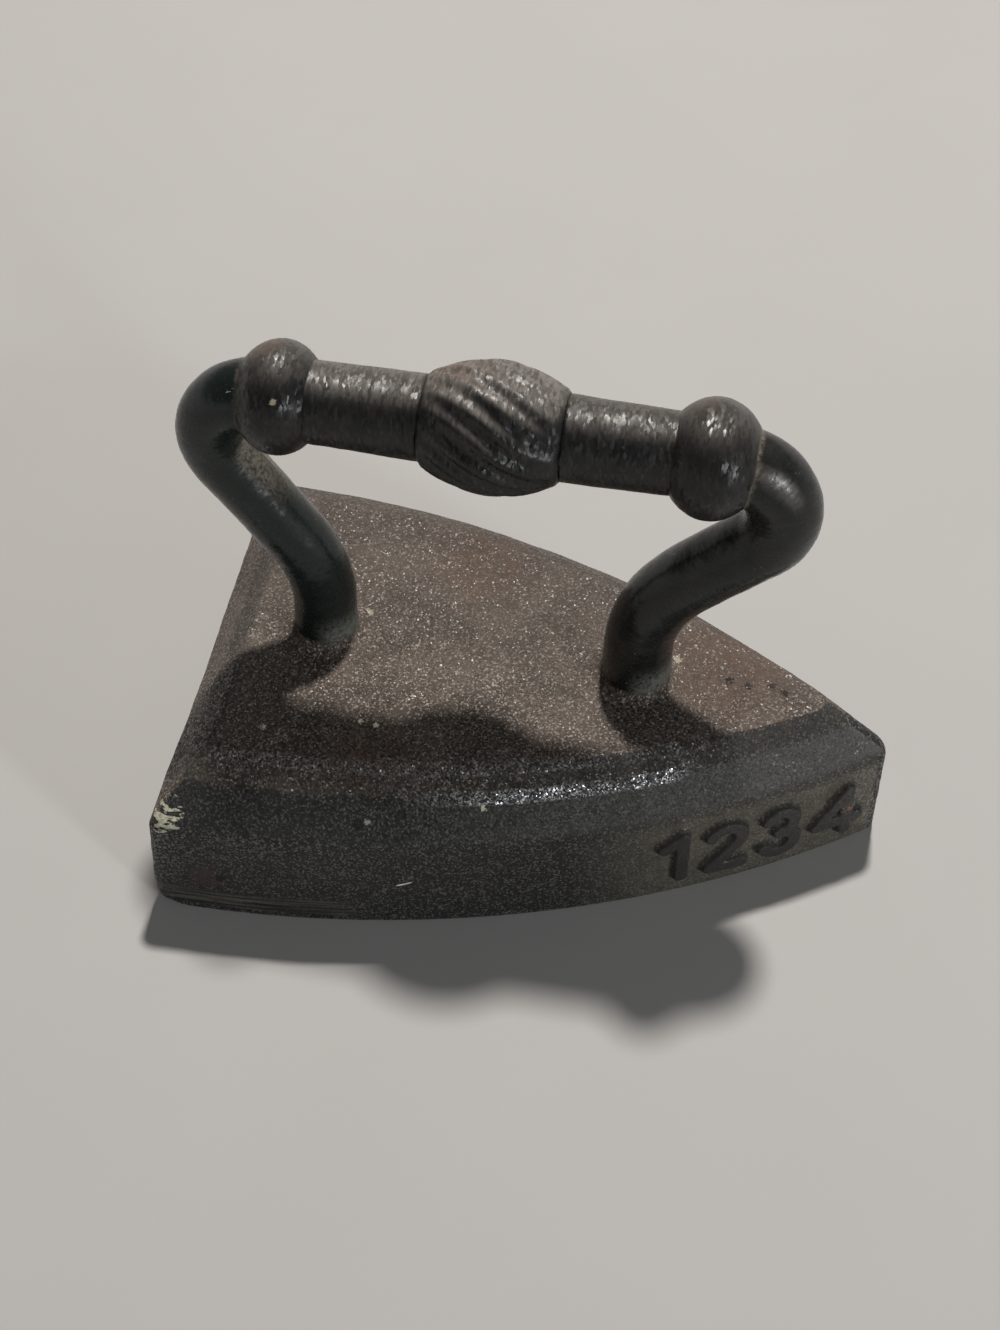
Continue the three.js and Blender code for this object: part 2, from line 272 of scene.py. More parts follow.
# Points round one level of the body, closer along the numerals
NUMERALS_FROM_SHARE = 0.64
PLAIN_STEPS = 80
NUMERAL_STEPS = 290
FAR_STEPS = 150
CORNER_STEPS = 8
TOE_STEPS = 14
HEEL_STEPS = 70
plain_shares = np.linspace(0, NUMERALS_FROM_SHARE, PLAIN_STEPS, endpoint=False)
numeral_shares = np.linspace(NUMERALS_FROM_SHARE, 1, NUMERAL_STEPS)
NEAR_SIDE = np.concatenate([plain_shares, numeral_shares])[1:]
FAR_SIDE = np.linspace(1, 0, FAR_STEPS)[:-1]

# Rings of the body, edge by edge and face by face
EDGE_RINGS = 8
SHOULDER_RINGS = 7
WALL_RINGS = 125
BEVEL_RINGS = 12
CHAMFER_RINGS = 8
PLATE_RINGS = 46

# Share of the way from an edge to the middle, for the flat beside the edge
INNER_SHARE = 0.15

# How worn each edge is
SOLE_EDGE_WEAR = 0.25
SHOULDER_WEAR = 1
PLATE_EDGE_WEAR = 0.7


def side_arc(run, half_width):
    """Radius and angle of a side that runs from the heel into the round toe."""
    radius = (run**2 + half_width**2 - TOE_RADIUS**2) / (2 * (half_width - TOE_RADIUS))
    return radius, math.asin(run / (radius - TOE_RADIUS))


def level(inset, height):
    """One level of the body in plan: near corner, near side, toe, far side, far corner, heel."""
    heel_x = -HALF_LENGTH + HEEL_INSET_RATIO * inset
    half_width = HALF_WIDTH - inset
    toe_x = HALF_LENGTH - TOE_INSET_RATIO * inset - TOE_RADIUS
    side_x = heel_x + HEEL_CORNER_RADIUS
    side_radius, toe_angle = side_arc(toe_x - side_x, half_width)
    quarter = math.pi / 2
    corner_y = half_width - HEEL_CORNER_RADIUS
    corner = np.linspace(-2 * quarter, -quarter, CORNER_STEPS)
    toe = np.linspace(toe_angle - quarter, quarter - toe_angle, TOE_STEPS + 2)[1:-1]
    arcs = [
        (side_x, -corner_y, HEEL_CORNER_RADIUS, corner),
        (side_x, side_radius - half_width, side_radius, NEAR_SIDE * toe_angle - quarter),
        (toe_x, 0, TOE_RADIUS, toe),
        (side_x, half_width - side_radius, side_radius, quarter - FAR_SIDE * toe_angle),
        (side_x, corner_y, HEEL_CORNER_RADIUS, -corner[::-1]),
    ]
    x = np.concatenate([cx + r * np.cos(a) for cx, cy, r, a in arcs] + [np.full(HEEL_STEPS, heel_x)])
    heel_y = np.linspace(corner_y, -corner_y, HEEL_STEPS + 2)[1:-1]
    y = np.concatenate([cy + r * np.sin(a) for cx, cy, r, a in arcs] + [heel_y])
    return np.stack([x, y, np.full_like(x, height)], axis=1)


def side_distance():
    """Distance from the heel corner along the near side, for the points of a level; -1 elsewhere."""
    side_x = -HALF_LENGTH + HEEL_CORNER_RADIUS
    radius, toe_angle = side_arc(HALF_LENGTH - TOE_RADIUS - side_x, HALF_WIDTH)
    distance = np.full(len(level(0, 0)), -1.0)
    distance[CORNER_STEPS : CORNER_STEPS + len(NEAR_SIDE)] = NEAR_SIDE * toe_angle * radius
    return distance


def arc_points(cx, cy, rx, ry, start, stop, count=12):
    angles = np.radians(np.linspace(start, stop, count))
    return [(cx + rx * math.cos(a), cy + ry * math.sin(a)) for a in angles]


# Strokes of each numeral in a box of height 1, and the box's width
NUMERAL_STROKES = {
    "1": (0.4, [[(0.06, 0.74), (0.31, 0.93), (0.31, 0.06)]]),
    "2": (0.6, [arc_points(0.3, 0.7, 0.22, 0.23, 165, -35) + [(0.09, 0.07), (0.55, 0.07)]]),
    "3": (0.58, [
        arc_points(0.27, 0.71, 0.2, 0.22, 155, -90),
        arc_points(0.27, 0.28, 0.23, 0.22, 90, -155),
    ]),
    "4": (0.68, [[(0.48, 0.06), (0.48, 0.93), (0.04, 0.29), (0.66, 0.29)]]),
}


def numeral_relief(along, height):
    """How far the raised numerals stand out at points of the near wall."""
    nearest = np.full(along.shape, np.inf)
    left = NUMERAL_START
    for numeral in NUMERALS:
        width, strokes = NUMERAL_STROKES[numeral]
        for stroke in strokes:
            points = np.array(stroke) * NUMERAL_HEIGHT + np.array([left, NUMERAL_BASE])
            for a, b in zip(points, points[1:]):
                ab = b - a
                t = ((along - a[0]) * ab[0] + (height - a[1]) * ab[1]) / (ab @ ab)
                t = np.clip(t, 0, 1)
                away = np.hypot(along - a[0] - t * ab[0], height - a[1] - t * ab[1])
                nearest = np.minimum(nearest, away)
        left += width * NUMERAL_HEIGHT + NUMERAL_GAP
    rim = NUMERAL_STROKE / 2
    return NUMERAL_RELIEF * fade(nearest, rim - NUMERAL_EDGE, rim + NUMERAL_EDGE)


def body_rings():
    """Rings of the body from the sole's edge up to the middle of the plate, and how worn each is."""
    sole = level(0, 0)
    wall = level(WALL_DRAFT, WALL_HEIGHT)
    full_shoulder = level(BEVEL_INSET, BEVEL_TOP)
    plate = level(PLATE_INSET, PLATE_HEIGHT)
    along = full_shoulder[:, :1] / (2 * HALF_LENGTH) + 0.5
    chamfer_share = (CHAMFER_FADE_END - along) / (CHAMFER_FADE_END - CHAMFER_FADE_START)
    shoulder = plate + (full_shoulder - plate) * np.clip(chamfer_share, CHAMFER_TOE_SHARE, 1)
    middle = np.array([-HALF_LENGTH / 4, 0, PLATE_HEIGHT])
    inner_plate = plate + (middle - plate) * INNER_SHARE
    inner_sole = sole + (np.array([middle[0], 0, 0]) - sole) * INNER_SHARE

    at_heel = smooth(-sole[:, :1], *HEEL_ROUND_ZONE)
    sole_round = SOLE_EDGE_ROUND + (HEEL_EDGE_ROUND - SOLE_EDGE_ROUND) * at_heel
    chamfer = np.linalg.norm(shoulder - plate, axis=1, keepdims=True)
    full_chamfer = np.linalg.norm(full_shoulder - plate, axis=1, keepdims=True)
    shoulder_round = np.minimum(SHOULDER_ROUND, CHAMFER_ROUND_SHARE * chamfer)
    plate_round = np.minimum(PLATE_EDGE_ROUND, CHAMFER_ROUND_SHARE * full_chamfer)

    sole_edge = fillet(inner_sole, sole, wall, sole_round, EDGE_RINGS)
    wall_top = fillet(sole, wall, shoulder, WALL_TOP_ROUND, EDGE_RINGS)
    shoulder_edge = fillet(wall, shoulder, plate, shoulder_round, SHOULDER_RINGS)
    plate_edge = fillet(shoulder, plate, inner_plate, plate_round, EDGE_RINGS)
    rings, wear = [], []

    def add(new, worn):
        rings.extend(new)
        wear.extend([worn] * len(new))

    add(sole_edge, SOLE_EDGE_WEAR)
    add(between(sole_edge[-1], wall_top[0], WALL_RINGS), 0)
    add(wall_top, 0)
    add(between(wall_top[-1], shoulder_edge[0], BEVEL_RINGS), 0)
    add(shoulder_edge, SHOULDER_WEAR)
    add(between(shoulder_edge[-1], plate_edge[0], CHAMFER_RINGS), 0)
    add(plate_edge, PLATE_EDGE_WEAR)
    for share in np.linspace(0, 1, PLATE_RINGS)[1:-1]:
        add([plate_edge[-1] + (middle - plate_edge[-1]) * share], 0)
    return np.array(rings), np.array(wear)


# Leans of the body's surface over which its looks fade in, towards +Y, the heel or up
NEAR_LEAN = -0.15
FAR_LEANS = (0.05, 0.25)
HEEL_LEANS = (0.3, 0.6)
PLATE_LEANS = (0.86, 0.97)
CHAMFER_LEANS = (0.88, 0.97)

# Heights over which the body's looks fade from face to face
WALL_TOP_ZONE = (WALL_HEIGHT - 0.8, WALL_HEIGHT + 0.8)
BEVEL_TOP_ZONE = (BEVEL_TOP - 0.6, BEVEL_TOP + 0.3)
CHAMFER_ZONE = (BEVEL_TOP - 0.2, BEVEL_TOP + 0.6)
PLATE_ZONE = (20, 23)

# Rust on the heel, the chamfer and the far side, and redder patches of the plate as middle and reach
HEEL_RUST_ZONE = (9, 17)
HEEL_WALL_RUST = 0.5
HEEL_BEVEL_RUST = 0.35
CHAMFER_RUST = 0.72
CHAMFER_RUST_LOSS = 0.42
CHAMFER_RUST_ZONE = (-12, 4)
FAR_RUST = 0.85
# Share of the chamfer's painted shade taken off on the far side, which faces the key lamp
FAR_SHADE_LOSS = 0.6
BLUSHES = ((22.0, 4.0, 13.0), (-11.0, 14.0, 10.0), (-19.0, -20.0, 9.0))
BLUSH_CORE_SHARE = 0.2

# Worn glints, the sheen painted on the bevel's toe end, and the ground band low on the near wall
SHOULDER_GLINT_RISE = (-16, 0)
SHOULDER_GLINT_FALL = (17, 21)
PLATE_EDGE_GLINT = 0.42
PLATE_EDGE_GLINT_FALL = (-5, 25)
FAR_GLINT = 0.1
FAR_BEVEL = 0.4
BEVEL_SHEEN_ZONE = (-26, 28)
GROUND_RISE = (0.8, 1.6)
GROUND_FALL = (3.6, 5.4)
GROUND_END = (-24, -16)

# Dust round the numerals and the feet
NUMERAL_DUST = 0.85
NUMERAL_DUST_START = (NUMERAL_START - 14, NUMERAL_START + 4)
NUMERAL_DUST_TOP = (14.2, 17.2)
FOOT_DUST = 0.2
FOOT_DUST_REACH = (5, 7.5)


def body_rust(points, normals):
    """Rust on the plate, heel and chamfer, redder patches, and the shade painted on the chamfer's slopes.
    """
    x, y, z = points.T
    on_plate = smooth(normals[:, 2], *PLATE_LEANS)
    up_heel = HEEL_WALL_RUST * smooth(z, *HEEL_RUST_ZONE) + HEEL_BEVEL_RUST * smooth(z, *WALL_TOP_ZONE)
    on_heel = up_heel * smooth(-normals[:, 0], *HEEL_LEANS)
    chamfer = smooth(z, *CHAMFER_ZONE)
    far = smooth(normals[:, 1], *FAR_LEANS)
    along_chamfer = CHAMFER_RUST - CHAMFER_RUST_LOSS * smooth(x, *CHAMFER_RUST_ZONE)
    on_chamfer = chamfer * np.maximum(along_chamfer, FAR_RUST * far)
    blush = np.zeros(len(points))
    for centre_x, centre_y, reach in BLUSHES:
        from_centre = np.hypot(x - centre_x, y - centre_y)
        blush = np.maximum(blush, fade(from_centre, BLUSH_CORE_SHARE * reach, reach))
    return {
        "rust": np.maximum(np.maximum(on_plate, on_heel), on_chamfer),
        "blush": blush,
        "chamfer_shade": chamfer * fade(normals[:, 2], *CHAMFER_LEANS) * (1 - FAR_SHADE_LOSS * far),
    }


def body_wear(points, normals, wear):
    """Worn glints on the edges, the bevel, the sheen painted on its toe end, and the ground band."""
    x, y, z = points.T
    near = normals[:, 1] < NEAR_LEAN
    on_shoulder = band(x, SHOULDER_GLINT_RISE, SHOULDER_GLINT_FALL)
    on_plate_edge = PLATE_EDGE_GLINT * fade(x, *PLATE_EDGE_GLINT_FALL)
    near_glint = np.where(wear > PLATE_EDGE_WEAR, on_shoulder, on_plate_edge)
    bevel = band(z, WALL_TOP_ZONE, BEVEL_TOP_ZONE) * np.where(near, 1, FAR_BEVEL)
    return {
        "worn": wear * np.where(near, near_glint, FAR_GLINT),
        "bevel": bevel,
        "pale": bevel * near * smooth(x, *BEVEL_SHEEN_ZONE),
        "ground_off": near * band(z, GROUND_RISE, GROUND_FALL) * fade(x, *GROUND_END),
    }


def body_dust(points, relief, distance):
    """Dust round the numerals and the feet, and how far the numerals stand out."""
    x, y, z = points.T
    raised = relief / NUMERAL_RELIEF
    round_numerals = NUMERAL_DUST * smooth(distance, *NUMERAL_DUST_START) * fade(z, *NUMERAL_DUST_TOP)
    dust = round_numerals * (1 - raised)
    for end in POSTS:
        from_foot = np.hypot(x - foot_x(end), y)
        dust = np.maximum(dust, FOOT_DUST * fade(from_foot, *FOOT_DUST_REACH) * smooth(z, *PLATE_ZONE))
    return {"dust": dust, "raised": raised}


def make_body(material):
    rings, wear = body_rings()
    count = rings.shape[1]
    distance = side_distance()
    outward = np.stack([np.gradient(rings[0, :, 1]), -np.gradient(rings[0, :, 0])], axis=1)
    outward = outward / np.linalg.norm(outward, axis=1, keepdims=True)
    relief = numeral_relief(np.broadcast_to(distance, rings.shape[:2]), rings[:, :, 2]) * (distance >= 0)
    rings[:, :, :2] += relief[:, :, None] * outward
    at_heel = smooth(-rings[0, :, 0], *HEEL_BULGE_ZONE)
    bulge = band(rings[:, :, 2], BULGE_FOOT, (WALL_HEIGHT, BEVEL_TOP))
    rings[:, :, 0] -= HEEL_BULGE * at_heel * bulge

    bm = skin(rings, close_start=False)
    bm.normal_update()
    points = rings.reshape(-1, 3)
    normals = np.array([v.normal for v in bm.verts])
    swell = lumps(points, BODY_LUMPS) * smooth(points[:, 2], *FLAT_SOLE_ZONE)
    points = points + normals * swell[:, None]
    for vert, point in zip(bm.verts, points):
        vert.co = point
    fill_sole(bm)

    values = {
        **body_rust(points, normals),
        **body_wear(points, normals, np.repeat(wear, count)),
        **body_dust(points, relief.ravel(), np.tile(distance, len(rings))),
    }
    extra = len(bm.verts) - len(points)
    values = {key: np.concatenate([value, np.zeros(extra)]) for key, value in values.items()}
    piece = make_piece("cast_body", bm, material, values)
    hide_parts("iron_body")


def fill_sole(bm):
    """The flat sole inside the lowest ring, with a countersunk hole for each screw."""
    edges = [edge for edge in bm.edges if edge.is_boundary]
    turn = np.linspace(0, 2 * math.pi, HOLE_STEPS, endpoint=False)
    for end in POSTS:
        low, high = box_mm(f"{end}_post_screw")
        head_radius = (high[0] - low[0]) / 2 + FIT_CLEARANCE
        cone_bottom = low[2] + JOINT_GAP
        cone_top = cone_bottom + head_radius - SHANK_HOLE_RADIUS
        profile = [
            (head_radius, 0),
            (head_radius, cone_bottom),
            (SHANK_HOLE_RADIUS, cone_top),
            (SHANK_HOLE_RADIUS, cone_top + SHANK_HOLE_DEPTH),
        ]
        rows = []
        for radius, height in profile:
            circle = [(foot_x(end) + radius * math.cos(a), radius * math.sin(a), height) for a in turn]
            rows.append([bm.verts.new(p) for p in circle])
        for lower, upper in zip(rows, rows[1:]):
            for i in range(HOLE_STEPS):
                j = (i + 1) % HOLE_STEPS
                bm.faces.new((lower[i], upper[i], upper[j], lower[j]))
        bm.faces.new(rows[-1])
        edges += [bm.edges.get((rows[0][i - 1], rows[0][i])) for i in range(HOLE_STEPS)]
    bmesh.ops.triangle_fill(bm, use_beauty=True, edges=edges)


# Handle

# Leans, heights above the plate and shares of the rise over which the handle's looks fade in
TOP_LEANS = (0.35, 0.95)
PATINA_LEANS = (0.25, 0.9)
PATINA_HEIGHTS = (1.8, 6.5)
EARTH_HEIGHTS = (0.3, 2)
INNER_LEANS = (0.8, 1.08)
INNER_UPWARD = 0.5
INNER_RISE = (0.56, 0.74)
INNER_FALL = (0.84, 0.97)
# Leans and rise of the sheen painted on the front elbow
SHEEN_LEANS = (0.94, 0.998)
SHEEN_RISE = (0.82, 0.94)
TINT_LEANS = (-0.3, 0.4)
TINT_FAR_LOSS = 0.65
BALL_RUST_LEANS = (0.72, 0.98)

# Dust in the crease: share of the ball's size on the post, distance from the post on the ball
CREASE_ON_POST = (1.0, 1.045)
CREASE_ON_BALL = (0.03, 0.27)

# Rust on the knop, by lean up, lean to the far side and distance to the rear
KNOP_RUST = 0.8
KNOP_RUST_UP = (0.4, 0.9)
KNOP_RUST_FAR = (-0.3, 0.4)
KNOP_RUST_REAR = (-2, 5)

# Depth of the cross marks, and strength of the painted highlight on top, partly rubbed wear
POST_MARKS = 0.14
SHEEN_MARKS = 0.2
BALL_MARKS = 0.75
GRIP_MARKS = 1.0
POST_TOP_SHEEN = 0.1
BALL_TOP_SHEEN = 0.5
KNOP_TOP_SHEEN = 1.15


def make_bar(name, node, rings, bars, material, looks):
    """A round bar from its rings, uneven like a casting; bars holds distances along and around it."""
    bm = skin(rings)
    bmesh.ops.recalc_face_normals(bm, faces=bm.faces)
    bm.normal_update()
    points = rings.reshape(-1, 3)
    normals = np.array([v.normal for v in bm.verts])
    for vert, point, normal, rise in zip(bm.verts, points, normals, lumps(points, BAR_LUMPS)):
        vert.co = point + normal * rise
    values = {key: 0.0 for key in ("patina", "dust", "rust", "earth", "tint", "sheen_patch")}
    values.update(looks(points, normals))
    values = {key: np.broadcast_to(value, len(points)) for key, value in values.items()}
    # Painted highlight on the sides facing the key lamp (partly rubbed wear), and the elbow's painted sheen
    key_side_sheen = values.pop("sheen_and_rub") * smooth(normals @ np.array(KEY_DIRECTION), *TOP_LEANS)
    values["top"] = np.maximum(key_side_sheen, values.pop("sheen_patch"))
    values["bar"] = bars.reshape(-1, 3)
    piece = make_piece(name, bm, material, values)
    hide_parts(node)


def round_rings(centres, outward, radii, along):
    """Rings of a round bar in the middle plane, and the same points as (along, across, across)."""
    turn = np.linspace(0, 2 * math.pi, BAR_STEPS, endpoint=False)
    sine = np.array(radii)[:, None] * np.sin(turn)
    cosine = np.array(radii)[:, None] * np.cos(turn)
    rings = centres[:, None, :] + outward[:, None, :] * cosine[:, :, None]
    rings[:, :, 1] += sine
    bars = np.stack([np.broadcast_to(np.array(along)[:, None], sine.shape), cosine, sine], axis=2)
    return rings, bars


def foot_x(end):
    low, high = box_mm(f"{end}_post_screw")
    return (low[0] + high[0]) / 2


def neck_path(foot_offset):
    """Points of a post's midline, as distance from the grip's middle and height."""
    foot_top = PLATE_HEIGHT + FOOT_STRAIGHT
    bend = np.array([foot_offset + FOOT_BEND, foot_top])
    elbow = np.array([BALL_OFFSET + ELBOW_REACH - ELBOW_BEND, GRIP_HEIGHT - ELBOW_BEND])
    span = elbow - bend
    lean = math.acos(-(ELBOW_BEND + FOOT_BEND) / np.hypot(*span)) - math.atan2(span[1], span[0])
    flare = np.linspace(0, math.pi / 2, FLARE_STEPS)
    path = [np.array([foot_offset, PLATE_HEIGHT - FOOT_DEPTH])]
    path += [np.array([foot_offset, PLATE_HEIGHT + FOOT_FLARE * (1 - math.cos(a))]) for a in flare]

    def line_to(point):
        start = path[-1]
        count = max(2, round(np.hypot(*(point - start)) / PATH_STEP))
        path.extend(start + (point - start) * s for s in np.linspace(0, 1, count + 1)[1:])

    def arc(centre, radius, start, stop):
        count = max(2, round(abs(stop - start) * radius / PATH_STEP))
        for angle in np.linspace(start, stop, count + 1)[1:]:
            path.append(centre + radius * np.array([math.cos(angle), math.sin(angle)]))

    line_to(np.array([foot_offset, foot_top]))
    arc(bend, FOOT_BEND, math.pi, math.pi - lean)
    line_to(elbow + ELBOW_BEND * np.array([math.cos(-lean), math.sin(-lean)]))
    arc(elbow, ELBOW_BEND, -lean, math.pi / 2)
    return np.array(path)


def neck_frame(end):
    """Centres, outward directions, radii and distances along a post, from its foot to its ball."""
    post = POSTS[end]
    side = post["side"]
    path = neck_path(side * (foot_x(end) - GRIP_X))
    along = np.concatenate([[0], np.cumsum(np.linalg.norm(np.diff(path, axis=0), axis=1))])
    tangent = np.gradient(path, along, axis=0)
    tangent = tangent / np.linalg.norm(tangent, axis=1, keepdims=True)
    middle = np.zeros(len(path))
    centres = np.stack([GRIP_X + side * path[:, 0], middle, path[:, 1]], axis=1)
    outward = np.stack([side * tangent[:, 1], middle, -tangent[:, 0]], axis=1)
    swell = smooth(along / along[-1], ELBOW_SWELL_START, 1)
    radii = post["radius"] + (post["elbow_radius"] - post["radius"]) * swell
    above_plate = path[:, 1] - PLATE_HEIGHT
    flare = np.clip(1 - above_plate / FOOT_FLARE, 0, 1)
    radii = radii + FOOT_FLARE * (1 - np.sqrt(1 - flare**2)) + np.clip(-above_plate, 0, None)
    return centres, outward, radii, along


def ball_sizes(end):
    """Middle, half length and radius of a ball."""
    low, high = box_mm(f"{end}_grip_ball")
    middle = GRIP_X + POSTS[end]["side"] * BALL_OFFSET
    return middle, POSTS[end]["ball_half_length"], (high[1] - low[1]) / 2


def make_post(end, material):
    post = POSTS[end]
    ball_middle, ball_half, ball_radius = ball_sizes(end)

    def looks(points, normals):
        x, y, z = points.T
        above = z - PLATE_HEIGHT
        rise = above / GRIP_RISE
        across_ball = np.hypot(y, z - GRIP_HEIGHT) / ball_radius
        off_ball = np.hypot((x - ball_middle) / ball_half, across_ball)
        crease = fade(off_ball, *CREASE_ON_POST) * post["crease_dust"]
        inner = smooth(INNER_UPWARD * normals[:, 2] - post["side"] * normals[:, 0], *INNER_LEANS)
        # Paler tan on the inner side under the ball: partly dust, partly a sheen painted where the key lamp
        # falls
        under_ball = inner * band(rise, INNER_RISE, INNER_FALL) * post["inner_dust_and_sheen"]
        # Sheen painted on the front elbow round the fill lamp's highlight, with more cross marks there
        sheen_patch = smooth(normals @ SHEEN_DIRECTION, *SHEEN_LEANS) * smooth(rise, *SHEEN_RISE) * post["elbow_sheen"]
        return {
            "patina": fade(above, *PATINA_HEIGHTS) * smooth(normals @ PATINA_DIRECTION, *PATINA_LEANS),
            "dust": np.maximum(crease, under_ball),
            "earth": fade(above, *EARTH_HEIGHTS),
            "tint": post["tint"] * (1 - TINT_FAR_LOSS * smooth(normals[:, 1], *TINT_LEANS)),
            "marks": POST_MARKS + SHEEN_MARKS * sheen_patch,
            "sheen_and_rub": POST_TOP_SHEEN,
            "sheen_patch": sheen_patch,
        }

    make_bar(f"{end}_swan_neck", f"{end}_post", *round_rings(*neck_frame(end)), material, looks)


def turned_rings(profile):
    """Rings turned about the grip's axis, from (x, radius) points."""
    x, radii = np.array(profile).T
    centres = np.stack([x, np.zeros(len(x)), np.full(len(x), GRIP_HEIGHT)], axis=1)
    return round_rings(centres, np.tile([0.0, 0.0, 1.0], (len(x), 1)), radii, x)


def make_ball(end, material):
    middle, half_length, radius = ball_sizes(end)
    angles = np.radians(np.linspace(-BALL_END_ANGLE, BALL_END_ANGLE, BALL_RINGS))
    profile = [(middle + half_length * math.sin(a), radius * math.cos(a)) for a in angles]
    centres, outward, neck_radii, along = neck_frame(end)
    elbow = slice(-ELBOW_POINTS, None)

    def looks(points, normals):
        gaps = np.linalg.norm(points[:, None, :] - centres[None, elbow, :], axis=2) - neck_radii[elbow]
        return {
            "dust": fade(gaps.min(axis=1), *CREASE_ON_BALL) * POSTS[end]["crease_dust"],
            "rust": smooth(normals @ RUST_DIRECTION, *BALL_RUST_LEANS) * POSTS[end]["ball_rust"],
            "marks": BALL_MARKS,
            "sheen_and_rub": BALL_TOP_SHEEN,
        }

    make_bar(f"{end}_bead", f"{end}_grip_ball", *turned_rings(profile), material, looks)


def make_sleeve(end, material):
    low, high = box_mm(f"{end}_grip_sleeve")
    side = POSTS[end]["side"]
    knop_radius = (high[1] - low[1]) / 2
    ball_radius = knop_radius - SLEEVE_TAPER
    at_knop, at_ball = (low[0], high[0]) if side > 0 else (high[0], low[0])
    shares = np.linspace(0, 1, SLEEVE_RINGS)
    run = at_ball - at_knop
    profile = [(at_knop + run * s, knop_radius + (ball_radius - knop_radius) * s) for s in shares]
    profile[0] = (at_knop - side * JOINT_GAP, knop_radius)
    profile.append((at_ball + side * SLEEVE_TUCK, ball_radius))

    def looks(points, normals):
        return {"marks": GRIP_MARKS, "sheen_and_rub": POSTS[end]["sheen_and_rub"]}

    make_bar(f"{end}_bar", f"{end}_grip_sleeve", *turned_rings(profile), material, looks)


def make_knop(material):
    low, high = box_mm("twisted_knop")
    half_length = (high[0] - low[0]) / 2
    full_radius = (high[1] - low[1]) / 2
    steps = KNOP_RIDGES * STEPS_PER_RIDGE
    turn = np.linspace(0, 2 * math.pi, steps, endpoint=False)
    rings = []
    for share in np.linspace(-1, 1, KNOP_RINGS):
        fullness = 1 - share**2
        rounding = EDGE_ROUND * smooth(abs(share), 1 - 2 * EDGE_ROUND / half_length, 1)
        waves = np.sin(3 * turn + 2.5 * share) * np.cos(5 * turn - 4 * share)
        uneven = 1 - KNOP_UNEVENNESS + KNOP_UNEVENNESS * waves
        angle = turn + KNOP_TWIST * share
        worn_top = 1 - KNOP_TOP_WEAR * smooth(np.sin(angle), *KNOP_TOP_ZONE)
        depth = KNOP_RIDGE_HEIGHT * uneven * worn_top * fullness
        groove = depth * (1 - np.cos(KNOP_RIDGES * turn)) / 2
        radius = KNOP_END_RADIUS + (full_radius - KNOP_END_RADIUS) * fullness - groove - rounding
        x = np.full(steps, GRIP_X + half_length * share)
        rings.append(np.stack([x, radius * np.cos(angle), GRIP_HEIGHT + radius * np.sin(angle)], axis=1))
    rings = np.array(rings)
    bars = rings - np.array([0, 0, GRIP_HEIGHT])

    def looks(points, normals):
        on_top = smooth(normals[:, 2], *KNOP_RUST_UP) * smooth(normals[:, 1], *KNOP_RUST_FAR)
        rust = KNOP_RUST * on_top * smooth(GRIP_X - points[:, 0], *KNOP_RUST_REAR)
        return {"rust": rust, "marks": GRIP_MARKS, "sheen_and_rub": KNOP_TOP_SHEEN}

    make_bar("ridged_knop", "twisted_knop", rings, bars, material, looks)


# Materials

# Places of the colour sockets of a mix node
MIX_COLOUR_A = 6
MIX_COLOUR_B = 7
MIX_COLOUR_RESULT = 2

# Share of a spot's size over which its edge fades in
SPOT_EDGE = (1.1, 0.9)


